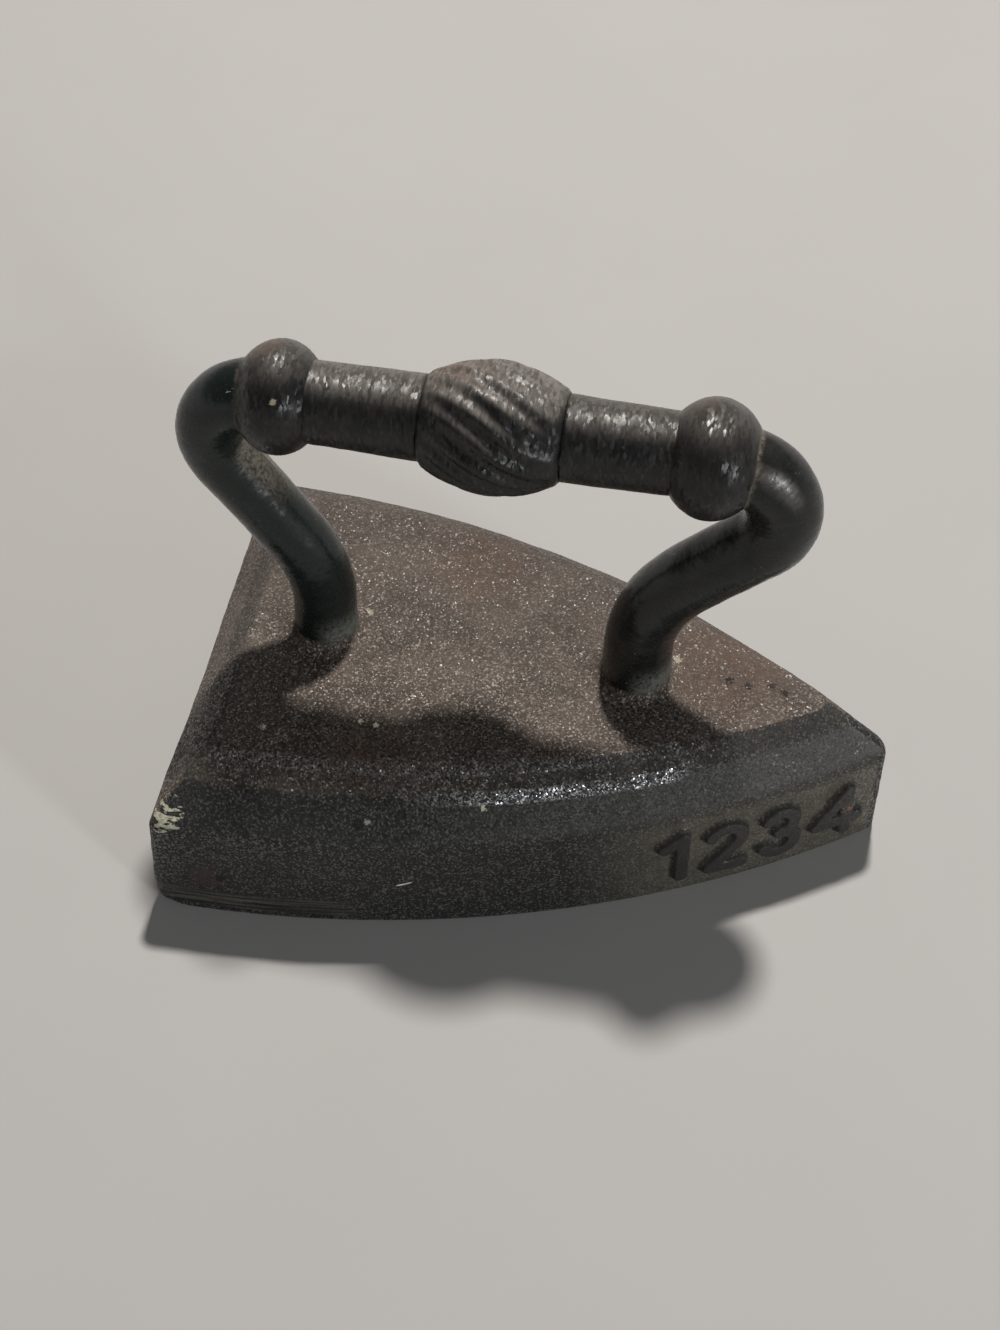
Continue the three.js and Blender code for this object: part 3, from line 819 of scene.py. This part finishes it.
class Shader:
    """Builds one material's nodes; inputs are sockets to link or plain values."""

    def __init__(self, name):
        self.material = bpy.data.materials.new(name)
        self.material.use_nodes = True
        self.nodes = self.material.node_tree.nodes
        self.links = self.material.node_tree.links
        self.surface = self.nodes["Principled BSDF"]

    def put(self, socket, value):
        if isinstance(value, bpy.types.NodeSocket):
            self.links.new(value, socket)
        else:
            socket.default_value = value

    def node(self, kind, inputs=None, **settings):
        made = self.nodes.new(kind)
        for key, value in settings.items():
            setattr(made, key, value)
        for key, value in (inputs or {}).items():
            self.put(made.inputs[key], value)
        return made

    def attribute(self, name, output="Fac"):
        return self.node("ShaderNodeAttribute", attribute_name=name).outputs[output]

    def place(self, scale=(1, 1, 1), attribute=None):
        """Millimetre coordinates, from the object or from a vertex value."""
        if attribute:
            source = self.attribute(attribute, "Vector")
            factor = scale
        else:
            source = self.node("ShaderNodeTexCoord").outputs["Object"]
            factor = tuple(s / MM for s in scale)
        return self.vector("MULTIPLY", source, factor)[0]

    def grain(self, place, scale, detail=3.0, roughness=0.55):
        inputs = {"Vector": place, "Scale": scale, "Detail": detail, "Roughness": roughness}
        return self.node("ShaderNodeTexNoise", inputs).outputs[0]

    def range(self, value, low, high, to_low=0.0, to_high=1.0):
        inputs = {0: value, 1: low, 2: high, 3: to_low, 4: to_high}
        return self.node("ShaderNodeMapRange", inputs, interpolation_type="SMOOTHSTEP").outputs[0]

    def math(self, operation, a, b=0.0):
        return self.node("ShaderNodeMath", {0: a, 1: b}, operation=operation).outputs[0]

    def times(self, a, b):
        return self.math("MULTIPLY", a, b)

    def plus(self, a, b):
        return self.math("ADD", a, b)

    def blend(self, share, a, b):
        inputs = {0: share, MIX_COLOUR_A: a, MIX_COLOUR_B: b}
        return self.node("ShaderNodeMix", inputs, data_type="RGBA").outputs[MIX_COLOUR_RESULT]

    def vector(self, operation, a, b):
        return self.node("ShaderNodeVectorMath", {0: a, 1: b}, operation=operation).outputs

    def facets(self, place, scale, tilt):
        """Small facets that each lean their own way: their height, and a tone for each."""
        cells = self.node("ShaderNodeTexVoronoi", {"Vector": place, "Scale": scale})
        offset = self.vector("SUBTRACT", place, cells.outputs["Position"])[0]
        lean = self.vector("SUBTRACT", cells.outputs["Color"], (0.5, 0.5, 0.5))[0]
        height = self.times(self.vector("DOT_PRODUCT", offset, lean)[1], tilt)
        tone = self.node("ShaderNodeSeparateColor", {0: cells.outputs["Color"]}).outputs[2]
        return height, tone

    def spot(self, place, centre, sizes, edge):
        """1 inside a ragged spot about centre, 0 outside; sizes holds its half sizes."""
        offset = self.vector("SUBTRACT", place, centre)[0]
        scaled = self.vector("DIVIDE", offset, sizes)[0]
        length = self.node("ShaderNodeVectorMath", {0: scaled}, operation="LENGTH").outputs[1]
        return self.range(self.plus(length, edge), *SPOT_EDGE)

    def scratch(self, place, start, stop, width):
        """1 along the line from start to stop, 0 beyond half the width from it."""
        run = np.array(stop) - np.array(start)
        offset = self.vector("SUBTRACT", place, start)[0]
        share = self.vector("DOT_PRODUCT", offset, tuple(run / (run @ run)))[1]
        share = self.node("ShaderNodeClamp", {"Value": share}).outputs[0]
        nearest = self.node("ShaderNodeVectorMath", {0: tuple(run), "Scale": share}, operation="SCALE")
        gap = self.vector("DISTANCE", offset, nearest.outputs[0])[1]
        return self.range(gap, width / 2, width / 4)

    def bump(self, height):
        """A bump from a height in millimetres."""
        return self.node("ShaderNodeBump", {"Height": height, "Distance": MM}).outputs[0]

    def finish(self, **inputs):
        for key, value in inputs.items():
            self.put(self.surface.inputs[key.replace("_", " ")], value)
        return self.material


def rgb(r, g, b):
    return (r, g, b, 1.0)


# Colours of the body, each pair from dark to pale
CHARCOAL = (rgb(0.008, 0.008, 0.0075), rgb(0.0235, 0.0228, 0.021))
# Bevel grey with a painted blue reflection of the fill lamp, and the grey of its painted toe-end sheen
BEVEL_GREY = rgb(0.016, 0.0168, 0.018)
BEVEL_SHEEN_GREY = rgb(0.112, 0.112, 0.105)
CHARCOAL_GRAIN = rgb(0.2, 0.195, 0.178)
BROWN = (rgb(0.068, 0.053, 0.0425), rgb(0.121, 0.0955, 0.076))
RED_BROWN = rgb(0.11, 0.075, 0.054)
BLUSH_BROWN = rgb(0.115, 0.074, 0.053)
FAR_BROWN = rgb(0.07, 0.052, 0.042)
BROWN_GRAIN = rgb(0.41, 0.362, 0.322)
# Darker brown of the painted shade on the chamfer
CHAMFER_SHADE_BROWN = rgb(0.048, 0.043, 0.0365)
GROUND_STREAKS = (rgb(0.009, 0.0087, 0.008), rgb(0.1, 0.095, 0.083))
WALL_DUST = (rgb(0.095, 0.087, 0.067), rgb(0.16, 0.146, 0.113))
DUST_GRAIN = rgb(0.27, 0.25, 0.205)
NUMERAL_FACE = rgb(0.03, 0.029, 0.026)
BARE_METAL = rgb(0.55, 0.56, 0.58)
OLD_PAINT = rgb(0.6, 0.6, 0.46)
SCRATCH = rgb(0.9, 0.9, 0.87)

# Colours of the handle and the screws
BLACK = (rgb(0.0075, 0.0075, 0.0077), rgb(0.016, 0.0155, 0.0145))
DASH_GREY = rgb(0.04, 0.0375, 0.035)
# Grey of the painted highlight on top, partly rubbed wear, and of the elbow's painted sheen
TOP_SHEEN_GREY = rgb(0.19, 0.174, 0.158)
GREEN_TINT = rgb(0.008, 0.0155, 0.0143)
PATINA_GREY = rgb(0.2, 0.207, 0.178)
HANDLE_RUST = rgb(0.15, 0.09, 0.055)
# Pale dust of the creases; on the rear post's inner side also a painted sheen
HANDLE_DUST = rgb(0.3, 0.262, 0.197)
HANDLE_SPECK = rgb(0.34, 0.3, 0.21)
STEEL = (rgb(0.3, 0.3, 0.31), rgb(0.16, 0.14, 0.12))

# Small marks on the body: half size, colour and places
PALE_SPECKS = ((-32.5, -17.4, 24), (-18.9, -14.4, 24), (-20.9, -14.2, 24), (-4.0, -21.5, 20.2))
BODY_SPOTS = (
    (0.34, (0.85, 0.8, 0.62), PALE_SPECKS),
    (0.55, (0.42, 0.37, 0.29), ((-23.9, 3.1, 24), (16.2, 3.0, 24))),
    # Pits in the plate, painted dark as shade in their hollows
    (0.5, (0.03, 0.022, 0.018), ((23.1, 1.1, 24), (25.5, 0.6, 24), (28.5, 1.2, 24), (30.2, 0.4, 24))),
    (1.8, (0.046, 0.032, 0.027), ((-38.0, -29.9, 7.4),)),
    # Pits beside the stain and on the bevel, painted black as shade in their hollows
    (0.7, (0.006, 0.006, 0.006), ((-36.0, -29.9, 7.6), (-18.6, -25.6, 18.8))),
    # A painted glint at the edge of the pit on the bevel
    (0.35, (0.4, 0.4, 0.39), ((-17.7, -25.4, 19.0),)),
    (1.0, (0.3, 0.16, 0.075), ((40.3, -4.0, 9.0),)),
)

# Chip of old paint at the heel, scratch on the near wall and speck on the rear ball
CHIP_PLACE = (-42.4, -28.3, 17.8)
CHIP_HALF_SIZES = (1.4, 1.6, 1.7)
SCRATCH_START = (-13.9, -27.0, 8.2)
SCRATCH_STOP = (-12.2, -26.6, 8.9)
SCRATCH_WIDTH = 0.32
SPECK_PLACE = (-31.1, -5.0, 67.7)
SPECK_HALF_SIZES = (0.4, 0.4, 0.4)

# Patterns in a millimetre, and the values that most of a grain lies between
SAND_PER_MM = 4.6
GLINTS_PER_MM = 5.0
FINE_PER_MM = 3.5
PATCHES_PER_MM = 0.5
BLOTCHES_PER_MM = 0.13
BAR_FINE_PER_MM = 2.2
BAR_BLOTCHES_PER_MM = 0.2
DASHES_PER_MM = (3.2, 1.25, 1.25)
GROUND_LINES_PER_MM = (0.08, 0.08, 2.4)
CHIP_STREAKS_PER_MM = (0.5, 0.9, 1.8)
BRUSH_LINES_PER_MM = (6, 0.6, 0.6)
GRAIN_SPAN = (0.3, 0.7)

# Lean of the sand grains and the dashes, and depth of the other unevenness in millimetres
SAND_TILT = 1.1
DASH_TILT = 0.185
PATCH_DEPTH = 0.2
BAR_FINE_DEPTH = 0.014
BRUSH_DEPTH = 0.03

# From where to where across the plate the sand gets smoother and the rust darker
FAR_PLATE_ZONE = (-10.0, 14.0)
FAR_SAND_SHARE = 0.5
FAR_BROWN_SHARE = 0.35


def bright_grains(s, tone):
    """The few palest of many grains."""
    return s.math("POWER", s.range(tone, 0.3, 1.0), 4.0)


def brown_rust(s, mm, patch, bright):
    """Brown rust with darker and redder patches and paler grains."""
    blotch = s.grain(mm, BLOTCHES_PER_MM, 4.0, 0.6)
    brown = s.blend(s.range(blotch, 0.36, 0.64), *BROWN)
    brown = s.blend(s.range(patch, 0.5, 0.75, 0.0, 0.5), brown, RED_BROWN)
    return s.blend(s.times(bright, 0.85), brown, BROWN_GRAIN)


def charcoal_skin(s, fine, bright):
    """Charcoal with paler grains, bluer on the bevel by a painted reflection, and a painted sheen at its
    toe end.
    """
    charcoal = s.blend(s.range(fine, *GRAIN_SPAN), *CHARCOAL)
    # Darker on the bevel; its blue is a painted reflection of the cool fill lamp
    on_bevel = s.times(s.attribute("bevel"), 0.7)
    charcoal = s.blend(on_bevel, charcoal, BEVEL_GREY)
    # Sheen painted on the bevel's toe end, where the fill lamp falls
    pale = s.times(s.attribute("pale"), s.range(fine, *GRAIN_SPAN, 0.3, 0.85))
    charcoal = s.blend(pale, charcoal, BEVEL_SHEEN_GREY)
    grains = s.times(bright, s.range(on_bevel, 0.0, 1.0, 0.8, 0.45))
    return s.blend(grains, charcoal, CHARCOAL_GRAIN)


def body_marks(s, mm, fine, colour):
    """Chip of old paint, specks, stains, pits painted dark as shade, a painted glint and a scratch over a
    colour.
    """
    streaks = s.grain(s.place(CHIP_STREAKS_PER_MM), 1.0, 3.0, 0.6)
    chip = s.spot(mm, CHIP_PLACE, CHIP_HALF_SIZES, s.range(streaks, 0.35, 0.65, -0.8, 1.5))
    colour = s.blend(chip, colour, OLD_PAINT)
    edge = s.range(fine, *GRAIN_SPAN, -0.5, 0.5)
    for half_size, spot_colour, centres in BODY_SPOTS:
        for centre in centres:
            spot = s.spot(mm, centre, (half_size, half_size, half_size), edge)
            colour = s.blend(spot, colour, rgb(*spot_colour))
    return s.blend(s.scratch(mm, SCRATCH_START, SCRATCH_STOP, SCRATCH_WIDTH), colour, SCRATCH)


def rusty_iron():
    s = Shader("rusty_iron")
    mm = s.place()
    facet, tone = s.facets(mm, SAND_PER_MM, SAND_TILT)
    fine = s.grain(mm, FINE_PER_MM, 2.0, 0.6)
    patch = s.grain(mm, PATCHES_PER_MM, 3.0, 0.6)
    bright = bright_grains(s, tone)
    raised = s.attribute("raised")

    # Brown rust where it lies on top, smoother and darker to the far side, over the charcoal
    to_far = s.node("ShaderNodeSeparateXYZ", {0: mm}).outputs[1]
    sandy = s.range(to_far, *FAR_PLATE_ZONE, 1.0, FAR_SAND_SHARE)
    brown = brown_rust(s, mm, patch, s.times(bright, sandy))
    brown = s.blend(s.range(to_far, *FAR_PLATE_ZONE, 0.0, FAR_BROWN_SHARE), brown, FAR_BROWN)
    blush = s.times(s.attribute("blush"), s.range(patch, 0.3, 0.6, 0.2, 0.75))
    brown = s.blend(blush, brown, BLUSH_BROWN)
    ragged = s.plus(s.attribute("rust"), s.range(patch, 0.2, 0.8, -0.3, 0.3))
    rusty = s.range(ragged, 0.3, 0.7)
    colour = s.blend(rusty, charcoal_skin(s, fine, bright), brown)
    # Darker brown painted on the chamfer's slopes as shade, less on the far side that faces the key lamp
    chamfer_shade = s.times(s.attribute("chamfer_shade"), s.range(tone, 0.3, 1.0, 0.7, 0.35))
    colour = s.blend(chamfer_shade, colour, CHAMFER_SHADE_BROWN)

    # Grinding marks low on the near wall
    lines = s.grain(s.place(GROUND_LINES_PER_MM), 1.0, 2.0, 0.6)
    ground_off = s.times(s.attribute("ground_off"), s.range(patch, 0.3, 0.5, 0.5, 1.0))
    colour = s.blend(ground_off, colour, s.blend(s.range(lines, 0.4, 0.66), *GROUND_STREAKS))

    # Dust in the low places, dark faces on the numerals, bare metal on worn edges
    dust = s.times(s.attribute("dust"), s.range(patch, 0.25, 0.7, 0.6, 1.0))
    dusty = s.blend(s.range(fine, *GRAIN_SPAN), *WALL_DUST)
    dusty = s.blend(s.times(bright, 0.6), dusty, DUST_GRAIN)
    colour = s.blend(dust, colour, dusty)
    colour = s.blend(s.range(raised, 0.3, 0.8, 0.0, 0.92), colour, NUMERAL_FACE)
    glint = s.facets(mm, GLINTS_PER_MM, 1.0)[1]
    sparse = s.times(s.range(glint, 0.5, 0.8), s.range(patch, 0.3, 0.5))
    worn = s.times(s.attribute("worn"), sparse)
    colour = s.blend(worn, colour, BARE_METAL)
    colour = body_marks(s, mm, fine, colour)

    # Sand that is smoother on the numerals, under dust and where it is ground off
    rough = s.times(s.range(tone, 0.3, 0.95, 0.68, 0.34), s.range(worn, 0.0, 1.0, 1.0, 0.6))
    even = s.times(s.range(raised, 0.02, 0.4, 1.0, 0.2), s.range(dust, 0.0, 1.0, 1.0, 0.5))
    even = s.times(even, s.range(ground_off, 0.0, 1.0, 1.0, 0.3))
    sand = s.times(facet, s.times(s.range(rusty, 0.0, 1.0, 0.6, 1.0), sandy))
    normal = s.bump(s.plus(s.times(sand, even), s.times(patch, PATCH_DEPTH)))
    return s.finish(
        Base_Color=colour,
        Roughness=rough,
        Metallic=worn,
        Specular_IOR_Level=0.42,
        Normal=normal,
    )


def black_iron():
    s = Shader("black_iron")
    mm = s.place()
    marks = s.attribute("marks")
    across, tone = s.facets(s.place(DASHES_PER_MM, attribute="bar"), 1.0, DASH_TILT)
    fine = s.grain(s.place(attribute="bar"), BAR_FINE_PER_MM, 3.0, 0.6)
    blotch = s.grain(mm, BAR_BLOTCHES_PER_MM, 3.0, 0.6)

    # Black skin with paler dashes, a painted highlight on top (partly rubbed wear), and a green tint
    colour = s.blend(s.range(blotch, 0.4, 0.7), *BLACK)
    dash = s.times(s.range(tone, 0.5, 1.0, 0.0, 0.5), marks)
    colour = s.blend(dash, colour, DASH_GREY)
    top = s.times(s.attribute("top"), s.range(tone, 0.1, 0.9, 0.45, 1.0))
    colour = s.blend(top, colour, TOP_SHEEN_GREY)
    colour = s.blend(s.attribute("tint"), colour, GREEN_TINT)

    # Patina, rust and dust, and the plate's rust round the feet
    patina = s.times(s.attribute("patina"), s.range(fine, 0.3, 0.65, 0.2, 1.0))
    colour = s.blend(patina, colour, PATINA_GREY)
    rust = s.times(s.attribute("rust"), s.range(fine, 0.4, 0.6))
    colour = s.blend(rust, colour, HANDLE_RUST)
    dust = s.times(s.attribute("dust"), s.range(fine, 0.35, 0.62, 0.2, 1.0))
    colour = s.blend(dust, colour, HANDLE_DUST)
    sand, grit = s.facets(mm, SAND_PER_MM, SAND_TILT)
    patch = s.grain(mm, PATCHES_PER_MM, 3.0, 0.6)
    ragged = s.plus(s.attribute("earth"), s.range(fine, *GRAIN_SPAN, -0.25, 0.25))
    earth = s.range(ragged, 0.3, 0.7)
    colour = s.blend(earth, colour, brown_rust(s, mm, patch, bright_grains(s, grit)))
    speck = s.spot(mm, SPECK_PLACE, SPECK_HALF_SIZES, s.range(fine, *GRAIN_SPAN, -0.4, 0.4))
    colour = s.blend(speck, colour, HANDLE_SPECK)

    rough = s.plus(s.range(fine, *GRAIN_SPAN, 0.18, 0.27), s.times(marks, 0.16))
    matte = s.math("MAXIMUM", earth, s.math("MAXIMUM", patina, dust))
    rough = s.plus(rough, s.times(matte, 0.4))
    height = s.plus(s.times(across, marks), s.times(fine, BAR_FINE_DEPTH))
    normal = s.bump(s.plus(height, s.times(sand, earth)))
    return s.finish(Base_Color=colour, Roughness=rough, Specular_IOR_Level=0.38, Normal=normal)


def plain_steel():
    s = Shader("plain_steel")
    brush = s.grain(s.place(BRUSH_LINES_PER_MM), 1.0)
    tarnish = s.grain(s.place(), 0.8)
    colour = s.blend(s.range(tarnish, 0.4, 0.7), *STEEL)
    rough = s.range(brush, *GRAIN_SPAN, 0.35, 0.55)
    normal = s.bump(s.times(brush, BRUSH_DEPTH))
    return s.finish(Base_Color=colour, Roughness=rough, Metallic=0.9, Normal=normal)


# Stage

# Strength and colour of the light from all round and of the surround that shows, and heights of the horizon
AMBIENT = 0.08
AMBIENT_COLOUR = rgb(1.0, 0.98, 0.96)
SURROUND = 0.55
SURROUND_COLOUR = rgb(1.0, 0.965, 0.91)
HORIZON_ZONE = (0.05, 0.3)

# Floor: share of the sole that is open, distances over which it fades away, and its greys
FLOOR_HOLE_SHARE = 0.98
FLOOR_FADE_START = 220
FLOOR_FADE_END = 480
FLOOR_GREYS = (rgb(0.47, 0.465, 0.455), rgb(0.5, 0.495, 0.485))
FLOOR_CLOUDS_PER_MM = 0.02

# Lamps: direction, size in metres, power in watts and colour
LAMP_TARGET = (0, 0, 30)
LAMP_DISTANCE = 0.9
LAMPS = {
    "key": (KEY_DIRECTION, 0.07, 8.2, (1.0, 0.95, 0.9)),
    "fill": (FILL_DIRECTION, 0.1, 2.5, (0.95, 0.97, 1.0)),
    "under": (UNDER_DIRECTION, 0.3, 5, (1.0, 1.0, 1.0)),
}


def pale_floor():
    """Plain pale grey that fades away with distance and is clear from below."""
    s = Shader("pale_floor")
    mm = s.place()
    colour = s.blend(s.grain(mm, FLOOR_CLOUDS_PER_MM), *FLOOR_GREYS)
    material = s.finish(Base_Color=colour, Roughness=0.9)
    away = s.node("ShaderNodeVectorMath", {0: mm}, operation="LENGTH").outputs[1]
    from_below = s.node("ShaderNodeNewGeometry").outputs["Backfacing"]
    see_through = s.math("MAXIMUM", from_below, s.range(away, FLOOR_FADE_START, FLOOR_FADE_END))
    clear = s.node("ShaderNodeBsdfTransparent")
    mix = s.node("ShaderNodeMixShader", {0: see_through, 1: s.surface.outputs[0], 2: clear.outputs[0]})
    s.links.new(mix.outputs[0], s.nodes["Material Output"].inputs["Surface"])
    return material


def make_floor():
    """A round floor, open where the sole stands."""
    sole_edge = body_rings()[0][0]
    hole = sole_edge * FLOOR_HOLE_SHARE
    rim = hole * FLOOR_FADE_END / np.linalg.norm(hole, axis=1, keepdims=True)
    bm = skin([rim, hole], close_start=False, close_end=False)
    bmesh.ops.scale(bm, vec=(MM, MM, MM), verts=bm.verts)
    mesh = bpy.data.meshes.new("floor")
    bm.to_mesh(mesh)
    bm.free()
    mesh.materials.append(pale_floor())
    floor = bpy.data.objects.new("floor", mesh)
    bpy.context.scene.collection.objects.link(floor)


def make_lamp(name, direction, size, power, colour):
    data = bpy.data.lights.new(name, "AREA")
    data.shape = "DISK"
    data.size = size
    data.energy = power
    data.color = colour
    lamp = bpy.data.objects.new(name, data)
    target = Vector(LAMP_TARGET) * MM
    lamp.location = target + Vector(direction).normalized() * LAMP_DISTANCE
    lamp.rotation_mode = "QUATERNION"
    lamp.rotation_quaternion = (target - lamp.location).to_track_quat("-Z", "Y")
    bpy.context.scene.collection.objects.link(lamp)


def make_world():
    """Weak light from all round, and a pale surround that reflections show near the horizon."""
    world = bpy.data.worlds.new("studio")
    world.use_nodes = True
    nodes = world.node_tree.nodes
    links = world.node_tree.links
    path = nodes.new("ShaderNodeLightPath")

    def math_node(operation, a, b):
        made = nodes.new("ShaderNodeMath")
        made.operation = operation
        links.new(a, made.inputs[0])
        if isinstance(b, bpy.types.NodeSocket):
            links.new(b, made.inputs[1])
        else:
            made.inputs[1].default_value = b
        return made.outputs[0]

    height = nodes.new("ShaderNodeSeparateXYZ")
    links.new(nodes.new("ShaderNodeTexCoord").outputs["Generated"], height.inputs[0])
    horizon = nodes.new("ShaderNodeMapRange")
    horizon.interpolation_type = "SMOOTHSTEP"
    links.new(height.outputs["Z"], horizon.inputs["Value"])
    horizon.inputs["From Min"].default_value = HORIZON_ZONE[0]
    horizon.inputs["From Max"].default_value = HORIZON_ZONE[1]
    horizon.inputs["To Min"].default_value = SURROUND - AMBIENT
    horizon.inputs["To Max"].default_value = 0
    reflected = math_node("MAXIMUM", path.outputs["Is Glossy Ray"], path.outputs["Is Transmission Ray"])
    extra = math_node("MULTIPLY", reflected, horizon.outputs[0])

    light = nodes["Background"]
    light.inputs["Color"].default_value = AMBIENT_COLOUR
    links.new(math_node("ADD", extra, AMBIENT), light.inputs["Strength"])
    seen = nodes.new("ShaderNodeBackground")
    seen.inputs["Color"].default_value = SURROUND_COLOUR
    seen.inputs["Strength"].default_value = SURROUND
    mix = nodes.new("ShaderNodeMixShader")
    links.new(path.outputs["Is Camera Ray"], mix.inputs[0])
    links.new(light.outputs[0], mix.inputs[1])
    links.new(seen.outputs[0], mix.inputs[2])
    links.new(mix.outputs[0], nodes["World Output"].inputs["Surface"])
    bpy.context.scene.world = world


def make_camera():
    position = Vector((19.952, -156.417, 221.911)) * MM
    pitch = math.radians(51.686)
    yaw = math.radians(-9.420)
    roll = math.radians(1.412)
    focal_pixels = 1996.84
    image_height = 1330
    forward = Vector((math.sin(yaw) * math.cos(pitch), math.cos(yaw) * math.cos(pitch), -math.sin(pitch)))
    level_right = Vector((math.cos(yaw), -math.sin(yaw), 0))
    level_up = level_right.cross(forward)
    right = level_right * math.cos(roll) + level_up * math.sin(roll)
    up = level_up * math.cos(roll) - level_right * math.sin(roll)
    data = bpy.data.cameras.new("camera")
    data.sensor_width = 36
    data.lens = focal_pixels * data.sensor_width / image_height
    data.clip_start = 0.01
    camera = bpy.data.objects.new("camera", data)
    turn = Matrix((right, up, -forward)).transposed()
    camera.matrix_world = Matrix.Translation(position) @ turn.to_4x4()
    bpy.context.scene.collection.objects.link(camera)
    bpy.context.scene.camera = camera


# Everything together

body_finish = rusty_iron()
handle_finish = black_iron()
steel_finish = plain_steel()

make_body(body_finish)
for end in POSTS:
    make_post(end, handle_finish)
    make_ball(end, handle_finish)
    make_sleeve(end, handle_finish)
make_knop(handle_finish)
for node in ("grip_rod", "rear_post_screw", "front_post_screw"):
    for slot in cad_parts[node].material_slots:
        slot.material = steel_finish

make_floor()
for name, (direction, size, power, colour) in LAMPS.items():
    make_lamp(name, direction, size, power, colour)
make_world()
make_camera()
bpy.context.scene.view_settings.view_transform = "Standard"
